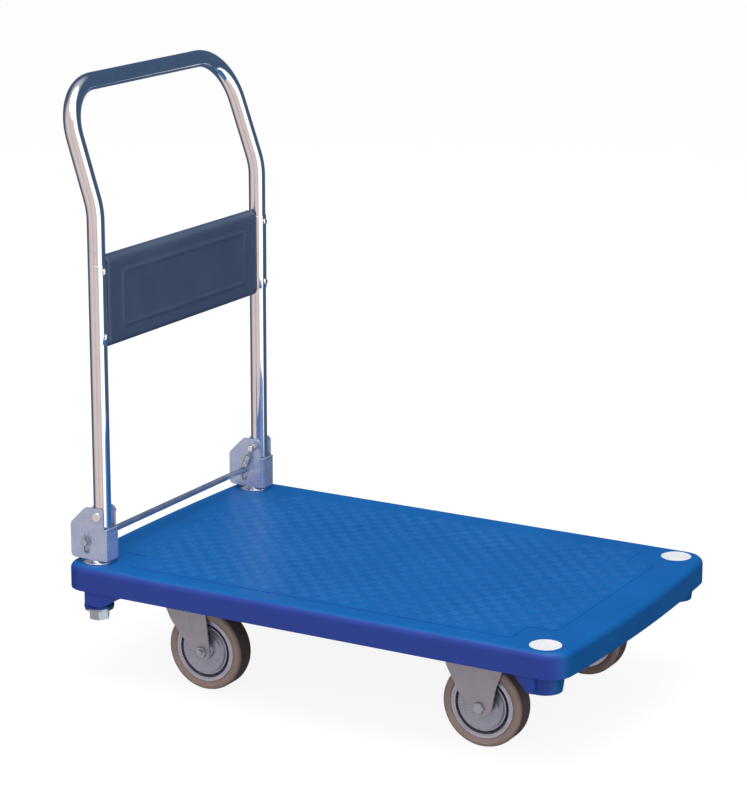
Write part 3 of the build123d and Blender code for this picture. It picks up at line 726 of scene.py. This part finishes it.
def collar_piece(side):
    """Bright dished seat under the bracket."""
    low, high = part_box(f"bracket_collar_{side}")
    height = high.z - low.z
    outline = flat([
        (CLAMP_HOLE, 0, 0.3 * MM), (COLLAR_RADIUS, 0, 0.6 * MM),
        (COLLAR_RADIUS, 1.6 * MM, 0.7 * MM), (COLLAR_HUB + 3.0 * MM, 3.0 * MM, 6.0 * MM),
        (COLLAR_HUB, height, 1.5 * MM), (CLAMP_HOLE, height, 0.3 * MM)])
    mesh = upright(lathe("collar", outline))
    centre = Vector(((low.x + high.x) / 2, (low.y + high.y) / 2, low.z))
    piece(f"collar_{side}", mesh, "base", "bright_plate",
          stands_for=[f"bracket_collar_{side}"], place=centre, sharp=50)


PIN_SHANK_RADIUS, PIN_HEAD_RADIUS, PIN_HEAD = 4.0 * MM, 6.3 * MM, 2.6 * MM


def pin_piece(side, sign):
    """Pivot pin: plain shank, domed and slightly dished head on the outside."""
    low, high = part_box(f"pivot_pin_{side}")
    length = high.y - low.y
    shank = length - PIN_HEAD
    outline = flat([
        (0.02 * MM, 0, 0), (PIN_SHANK_RADIUS, 0, 0.6 * MM),
        (PIN_SHANK_RADIUS, shank, 0.1 * MM),
        (PIN_HEAD_RADIUS, shank, 0.4 * MM), (PIN_HEAD_RADIUS, length - 0.4 * MM, 1.2 * MM),
        (2.2 * MM, length, 0.6 * MM), (1.4 * MM, length - 0.5 * MM, 0.4 * MM),
        (0.02 * MM, length - 0.5 * MM, 0)])
    mesh = lathe("pin", outline, 48)
    if sign < 0:
        mesh = moved(mesh, Matrix.Rotation(pi, 4, "Z"))
    start = low.y if sign > 0 else high.y
    piece(f"hinge_pin_{side}", mesh, "base", "bright_plate",
          stands_for=[f"pivot_pin_{side}"], place=Vector((upright_x, start, pivot_z)))


COIL_RADIUS, WIRE_RADIUS = 3.6 * MM, 0.9 * MM
HOOK_RADIUS = 4.9 * MM
COIL_LENGTH = 19.0 * MM        # next to the rod's hook
COIL_TURNS, COIL_STEPS = 10, 14
COIL_GAP = 1.0 * MM            # between the coil's end and the hook's eye


def spring_piece(side):
    """Close-wound extension spring with a hook at each end, stretched by the rod."""
    place = middle(f"release_spring_{side}")
    top = Vector((upright_x, place.y, pivot_z))
    bottom = Vector((rod_place.x, place.y, rod_place.z))
    down = (bottom - top).normalized()
    ahead = Vector((0, 1, 0)).cross(down)
    length = (bottom - top).length
    last = length - HOOK_RADIUS - COIL_GAP
    first = last - COIL_LENGTH

    def hook(centre, way):
        return [centre + ahead * (HOOK_RADIUS * sin(a)) + down * (way * HOOK_RADIUS * cos(a))
                for a in (radians(300 - 15 * k) for k in range(21))]

    path = hook(top, 1)
    steps = COIL_STEPS * COIL_TURNS
    for k in range(steps + 1):
        angle = 2 * pi * k / COIL_STEPS
        grow = min(1.0, k / COIL_STEPS, (steps - k) / COIL_STEPS)
        radius = COIL_RADIUS * (0.25 + 0.75 * grow)
        path.append(top + down * (first + (last - first) * k / steps)
                    + ahead * (radius * cos(angle)) + Vector((0, 1, 0)) * (radius * sin(angle)))
    path += hook(bottom, -1)[::-1]
    mesh = sweep("spring", path, WIRE_RADIUS, 8)
    obj = piece(f"coil_spring_{side}", mesh, None, "spring_steel",
                stands_for=[f"release_spring_{side}"], sharp=80)
    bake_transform(obj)


CLIP_WIRE = 0.9 * MM
CLIP_INSET = 2.2 * MM          # from the rod's end


def clip_pieces():
    """Split pins through the ends of the release rod, their legs bent apart."""
    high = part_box("release_rod")[1]
    meshes = []
    for sign in SIDES.values():
        y = sign * (high.y - CLIP_INSET)
        # millimetres from the rod's axis: ahead, outwards, up
        legs = [((-0.6, 0, -5.0), (-0.4, 0, 4.5), (-0.2, 0.8, 8.0), (0.8, 1.2, 11.5)),
                ((0.9, 0, -5.0), (0.9, 0, 3.8), (3.0, 0.6, 5.4), (5.4, 0.8, 5.8))]
        for leg in legs:
            points = [(Vector((x * MM + rod_place.x, y + sign * dy * MM,
                               rod_place.z + z * MM)), 1.5 * MM) for x, dy, z in leg]
            meshes.append(sweep("leg", rounded(points, closed=False), CLIP_WIRE, 12))
    piece("split_pins", joined("split_pins", meshes), "release", "fastener_zinc",
          stands_for=["rod_clips"], sharp=60)


for side, sign in SIDES.items():
    bracket_piece(side, sign)
    collar_piece(side)
    pin_piece(side, sign)
    spring_piece(side)
clip_pieces()

# ---------------------------------------------------------------- wheels


def both_faces(half):
    """Closed lathe outline from the +Y half of a symmetric profile."""
    return half + [(radius, -along) for radius, along in half[::-1]]


def tyre_outline():
    half = [(42.1, 0.0, 0), (42.1, 13.6, 0.5), (43.2, 14.6, 0.6), (47.6, 16.5, 2.4),
            (51.4, 14.8, 3.6), (53.0, 10.2, 3.0), (53.0, 0.0, 0)]
    path = rounded([((r * MM, y * MM, 0.0), c * MM) for r, y, c in half], closed=False, steps=5)
    points = [(p.x, p.y) for p in path]
    return points[1:-1] + [(r, -y) for r, y in points[1:-1]][::-1]


def core_outline():
    half = [(7.1, 16.2, 0.3), (11.4, 16.4, 0.8), (12.0, 4.0, 1.5), (33.2, 4.0, 1.5),
            (35.6, 6.0, 1.0), (36.0, 13.6, 0.8), (37.2, 14.6, 0.9), (38.4, 13.7, 0.8),
            (41.2, 14.3, 0.8), (42.0, 13.4, 0.4), (42.05, 0.5, 0)]
    path = rounded([((r * MM, y * MM, 0.0), c * MM) for r, y, c in half], closed=False, steps=5)
    return both_faces([(p.x, p.y) for p in path][:-1])


def cover_outline():
    face = [(12.0, 11.4, 0), (20.0, 10.6, 8.0), (28.0, 11.6, 5.0), (31.0, 13.4, 1.5),
            (32.4, 13.4, 0.8), (33.0, 11.6, 0)]
    path = rounded([((r * MM, y * MM, 0.0), c * MM) for r, y, c in face], closed=False, steps=6)
    outer = [(p.x, p.y) for p in path]
    inner = [(r - 0.5 * MM, y - 1.1 * MM) for r, y in outer[:0:-1]] + [(12.0 * MM, 10.3 * MM)]
    return outer + inner


for place in WHEELS:
    body = f"wheel_{place}"
    centre = wheel_place[place]
    piece(f"tyre_ring_{place}", lathe("tyre", tyre_outline(), 128), body, "tyre_rubber",
          stands_for=[f"tyre_{place}"], place=centre, sharp=60)
    piece(f"wheel_rim_{place}", lathe("rim", core_outline(), 128), body, "ring_steel",
          stands_for=[f"wheel_core_{place}"], place=centre, sharp=50)
    guard = lathe("guard", cover_outline(), 96)
    back = moved(guard.copy(), Matrix.Rotation(pi, 4, "Z"))
    piece(f"thread_guards_{place}", joined("guards", [guard, back]), body, "wheel_steel",
          stands_for=[f"wheel_covers_{place}"], place=centre, sharp=50)

# ---------------------------------------------------------------- forks
FORK_OUT = 20.25 * MM         # half the width over the legs
FORK_SHEET = 2.5 * MM
FORK_BEND = 6.0 * MM
RIB_RISE = 0.6 * MM
SWIVEL_OFFSET = 30.5 * MM


def fork_mesh(name, leg, top, axle_x, rib_x):
    """Strap bent down into two legs; each leg has a pressed rib and a boss at the axle.

    leg is the leg's outline in x and z, from the top rear round the foot to the top front."""
    arc = (FORK_BEND - FORK_SHEET / 2) * pi / 2
    crown = FORK_OUT - FORK_BEND
    fold = crown + arc

    def developed(z):
        return fold + top - FORK_BEND - z

    half = [(x, developed(z), r) for x, z, r in leg]
    outline = flat(half + [(x, -v, r) for x, v, r in half[::-1]])

    def shape(x, v):
        size, way = abs(v), (1 if v > 0 else -1)
        if size <= crown:
            return Vector((x, v, top))
        if size <= fold:
            angle = (size - crown) / arc * pi / 2
            return Vector((x, way * (crown + FORK_BEND * sin(angle)),
                           top - FORK_BEND * (1 - cos(angle))))
        z = top - FORK_BEND - (size - fold)
        above = z - wheel_radius
        middle_x = axle_x + (rib_x - axle_x) * min(1.0, above / (top - wheel_radius))
        rib = soft_step(-abs(x - middle_x), -9.0 * MM, -5.5 * MM)
        rib *= soft_step(above, 10 * MM, 22 * MM)
        boss = soft_step(-sqrt((x - axle_x) ** 2 + above ** 2), -9.5 * MM, -8.0 * MM)
        return Vector((x, way * (FORK_OUT + RIB_RISE * max(rib, 0.6 * boss)), z))

    hole_v = developed(wheel_radius)
    holes = [ring_points(axle_x, way * hole_v, 4.1 * MM, 24) for way in (1, -1)]
    return pressed(name, outline, holes, 2.2 * MM, shape, FORK_SHEET)


def foot_points(x, z, radius, start, end, count=12):
    """Outline rows round a leg's foot, between two angles in degrees."""
    rows = []
    for k in range(count + 1):
        angle = radians(start + (end - start) * k / count)
        rows.append((x + radius * cos(angle), z + radius * sin(angle), 0))
    return rows


CROWN_TOP = 118.2 * MM
plate_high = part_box("rigid_fork_left")[1]
PLATE_SHEET = 3.0 * MM
plate_bottom = plate_high.z - PLATE_SHEET

swivel_foot = foot_points(SWIVEL_OFFSET, wheel_radius, 11.5 * MM, 216, 348)
swivel_leg = [(-24 * MM, CROWN_TOP, 0), (-23.5 * MM, 103.2 * MM, 8 * MM),
              (-16 * MM, 88.2 * MM, 30 * MM), (-3.5 * MM, 73.2 * MM, 20 * MM), *swivel_foot,
              (SWIVEL_OFFSET + 5.5 * MM, 103.2 * MM, 20 * MM),
              (SWIVEL_OFFSET + 5 * MM, CROWN_TOP, 0)]
rigid_foot = foot_points(1.5 * MM, wheel_radius + 4.5 * MM, 15.6 * MM, 210, 343)
rigid_leg = [(-46 * MM, plate_bottom, 0), (-46 * MM, 100 * MM, 8 * MM),
             (-27 * MM, 65 * MM, 30 * MM), *rigid_foot, (18.6 * MM, 66 * MM, 20 * MM),
             (22.1 * MM, 82 * MM, 30 * MM), (27 * MM, 94 * MM, 30 * MM),
             (36 * MM, plate_bottom, 0)]

CROWN_RADIUS = 27.0 * MM
BALL_LIFT = 5.4 * MM           # of the balls' centres over the crown
BALL_CIRCLE, BALL_RADIUS, RACE_HALF = 20.0 * MM, 3.35 * MM, 6.0 * MM
CROWN_SHEET = 3.0 * MM
KINGPIN_HOLE = 6.1 * MM


def race_mesh(flange_radius):
    """Pressed crown with the lower race, about the swivel axis."""
    ball_z = CROWN_TOP + BALL_LIFT
    groove = []
    for k in range(9):
        angle = radians(-160 + 140 * k / 8)
        groove.append((BALL_CIRCLE + BALL_RADIUS * cos(angle), BALL_RADIUS * sin(angle)))
    rows = [(KINGPIN_HOLE, CROWN_TOP - CROWN_SHEET, 0.4 * MM),
            (flange_radius, CROWN_TOP - CROWN_SHEET, 1.2 * MM),
            (flange_radius, CROWN_TOP, 1.2 * MM),
            (BALL_CIRCLE + RACE_HALF, CROWN_TOP + 0.2 * MM, 0.8 * MM),
            (BALL_CIRCLE + RACE_HALF, ball_z - 0.5 * MM, 0.8 * MM)]
    rows += [(r, ball_z + z, 0) for r, z in groove[::-1]]
    rows += [(BALL_CIRCLE - RACE_HALF, ball_z - 0.5 * MM, 0.6 * MM),
             (BALL_CIRCLE - RACE_HALF, CROWN_TOP, 0.4 * MM), (KINGPIN_HOLE, CROWN_TOP, 0.4 * MM)]
    return upright(lathe("race", flat(rows), 96))


HOLE_X, HOLE_Y, SCREW_RADIUS = 36.0 * MM, 27.4 * MM, 4.2 * MM

PLATE_HALF_X, PLATE_HALF_Y = 46.0 * MM, 36.0 * MM
SWIVEL_RIB_X, RIGID_RIB_X = 14.0 * MM, -4.0 * MM    # where each rib meets the crown


def swivel_fork_piece(side):
    """Fork under the swivel bearing, with the crown and lower race on top."""
    axis = swivel_place[side]
    legs = fork_mesh("swivel_fork", swivel_leg, CROWN_TOP, SWIVEL_OFFSET, SWIVEL_RIB_X)
    crown = race_mesh(CROWN_RADIUS)
    piece(f"caster_fork_{side}", joined("fork", [legs, crown]), f"swivel_{side}", "caster_zinc",
          stands_for=[f"swivel_fork_{side}"], place=Vector((axis.x, axis.y, 0)), sharp=40)


def rigid_fork_piece(side):
    """Fixed fork below its bored top plate."""
    centre = wheel_place[f"front_{side}"]
    legs = fork_mesh("rigid_fork", rigid_leg, plate_bottom, 0, RIGID_RIB_X)
    corners = [(x * PLATE_HALF_X, y * PLATE_HALF_Y, 8 * MM)
               for x, y in ((-1, -1), (1, -1), (1, 1), (-1, 1))]
    holes = [ring_points(x, y, SCREW_RADIUS, 24)
             for x in (-HOLE_X, HOLE_X) for y in (-HOLE_Y, HOLE_Y)]
    top = plate("top_plate", flat(corners), PLATE_SHEET, 0.5 * MM, holes)
    top = moved(top, Matrix.Translation((0, 0, plate_bottom + PLATE_SHEET / 2)))
    piece(f"fixed_fork_{side}", joined("fixed_fork", [legs, top]), "base", "caster_zinc",
          stands_for=[f"rigid_fork_{side}"], place=Vector((centre.x, centre.y, 0)), sharp=40)


for side in SIDES:
    swivel_fork_piece(side)
    rigid_fork_piece(side)

# ---------------------------------------------------------------- carried-over CAD nodes
CARRIED = {
    "corner_cap": "cap_plastic", "clamp_bolts": "fastener_zinc", "clamp_washers": "fastener_zinc",
    "clamp_nuts": "fastener_zinc", "release_rod": "rod_zinc", "rod_washers": "fastener_zinc",
    "axle_bolt": "fastener_zinc", "axle_nut": "fastener_zinc", "caster_screws": "fastener_zinc",
    "swivel_plate": "caster_zinc", "kingpin": "caster_zinc", "swivel_balls": "spring_steel",
    "wheel_bush": "bush_nylon",
}
for name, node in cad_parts.items():
    for start, material in CARRIED.items():
        if name.startswith(start):
            finish(node, material)

# ---------------------------------------------------------------- camera
CAMERA_PLACE = Vector((1.60835, -2.9026, 1.2389))
CAMERA_YAW, CAMERA_PITCH, CAMERA_ROLL = radians(119.236), radians(14.702), radians(0.123)
FOCAL_SHARE = 2724.7 / 800    # focal length over the image's longer side

camera = bpy.data.objects.new("camera", bpy.data.cameras.new("camera"))
bpy.context.scene.collection.objects.link(camera)
camera.data.lens = FOCAL_SHARE * camera.data.sensor_width
camera.data.clip_end = 60.0
ahead = Vector((cos(CAMERA_PITCH) * cos(CAMERA_YAW), cos(CAMERA_PITCH) * sin(CAMERA_YAW),
                -sin(CAMERA_PITCH)))
right = Vector((sin(CAMERA_YAW), -cos(CAMERA_YAW), 0))
up = right.cross(ahead)
rolled_right = right * cos(CAMERA_ROLL) + up * sin(CAMERA_ROLL)
rolled_up = up * cos(CAMERA_ROLL) - right * sin(CAMERA_ROLL)
turned = Matrix((rolled_right, rolled_up, -ahead)).transposed().to_4x4()
camera.matrix_world = Matrix.Translation(CAMERA_PLACE) @ turned
bpy.context.scene.camera = camera

# ---------------------------------------------------------------- studio


def studio_world():
    """White to the camera; reflections meet a warm wall, a bright screen and a dark blue one."""
    world = bpy.data.worlds.new("studio")
    bpy.context.scene.world = world
    world.use_nodes = True
    nodes = Nodes(world.node_tree)
    direction = nodes.add("ShaderNodeTexCoord").outputs["Generated"]

    def along(axis):
        node = nodes.add("ShaderNodeVectorMath", {0: direction, 1: tuple(axis)},
                         operation="DOT_PRODUCT")
        return node.outputs["Value"]

    level = Vector((ahead.x, ahead.y, 0)).normalized()
    angle = nodes.math("ARCTAN2", along(right), along(-level))
    turn = nodes.math("ADD", nodes.math("DIVIDE", angle, 2 * pi), 0.5)
    navy, tan_wall, white = (0.060, 0.108, 0.200), (0.66, 0.55, 0.52), (1.5, 1.5, 1.5)
    brown, pink = (0.16, 0.14, 0.14), (0.80, 0.70, 0.69)

    def at(degrees_round):
        return (degrees_round + 180) / 360

    ring = nodes.ramp(turn, (
        (at(-180), navy), (at(-118), navy), (at(-104), brown), (at(-88), tan_wall),
        (at(-55), pink), (at(-35), tan_wall), (at(-5), pink), (at(20), tan_wall),
        (at(30), white), (at(72), white), (at(80), navy), (at(179), navy)))
    height = nodes.add("ShaderNodeSeparateXYZ", {"Vector": direction}).outputs["Z"]
    ceiling = mixed(nodes, nodes.ramp(height, ((0.72, 0.0), (0.95, 1.0))), ring,
                    (0.60, 0.61, 0.64))
    path = nodes.add("ShaderNodeLightPath")
    seen = nodes.add("ShaderNodeBackground", {"Color": (1, 1, 1, 1), "Strength": 1.0})
    met = nodes.add("ShaderNodeBackground", {"Color": ceiling, "Strength": 1.0})
    both = nodes.add("ShaderNodeMixShader", {0: path.outputs["Is Camera Ray"],
                                             1: met.outputs[0], 2: seen.outputs[0]})
    nodes.set(nodes.add("ShaderNodeOutputWorld"), "Surface", both.outputs[0])


def floor_material():
    """Pale floor, which mirror-like parts look through to the studio's walls."""
    material = bpy.data.materials.new("floor")
    material.use_nodes = True
    nodes = Nodes(material.node_tree)
    path = nodes.add("ShaderNodeLightPath")
    matt = nodes.add("ShaderNodeBsdfDiffuse", {"Color": (0.16, 0.16, 0.16, 1)})
    glow = nodes.add("ShaderNodeEmission", {"Color": (1, 1, 1, 1), "Strength": 0.90})
    shown = nodes.add("ShaderNodeAddShader", {0: matt.outputs[0], 1: glow.outputs[0]})
    direct = nodes.add("ShaderNodeMixShader", {0: path.outputs["Is Camera Ray"],
                                               1: matt.outputs[0], 2: shown.outputs[0]})
    clear = nodes.add("ShaderNodeBsdfTransparent")
    both = nodes.add("ShaderNodeMixShader", {0: path.outputs["Is Glossy Ray"],
                                             1: direct.outputs[0], 2: clear.outputs[0]})
    nodes.set(nodes.add("ShaderNodeOutputMaterial"), "Surface", both.outputs[0])
    return material


def soft_light(name, place, target, size, power, colour, mirrored=True):
    light = bpy.data.lights.new(name, "AREA")
    light.shape = "DISK"
    light.size = size
    light.energy = power
    light.color = colour
    obj = bpy.data.objects.new(name, light)
    bpy.context.scene.collection.objects.link(obj)
    obj.location = place
    obj.visible_glossy = mirrored
    obj.rotation_euler = (Vector(target) - Vector(place)).to_track_quat("-Z", "Y").to_euler()


FLOOR_HALF, FLOOR_DROP = 30.0, 0.5 * MM
floor = bpy.data.objects.new("floor", raw_mesh("floor", [
    (x * FLOOR_HALF, y * FLOOR_HALF, -FLOOR_DROP)
    for x, y in ((-1, -1), (1, -1), (1, 1), (-1, 1))], [(0, 1, 2, 3)]))
bpy.context.scene.collection.objects.link(floor)
floor.data.materials.append(floor_material())

studio_world()
soft_light("overhead", (0.3, -0.6, 2.8), (0, 0, 0.1), 2.4, 42, (1.0, 0.99, 0.98))
soft_light("front_fill", (0.2, -3.4, 1.0), (0, 0, 0.15), 1.8, 26, (1.0, 0.97, 0.98), False)
soft_light("far_fill", (-2.6, 1.8, 2.2), (0, 0, 0.2), 1.6, 12, (0.92, 0.96, 1.0), False)

scene = bpy.context.scene
scene.view_settings.view_transform = "Standard"
scene.view_settings.look = "None"
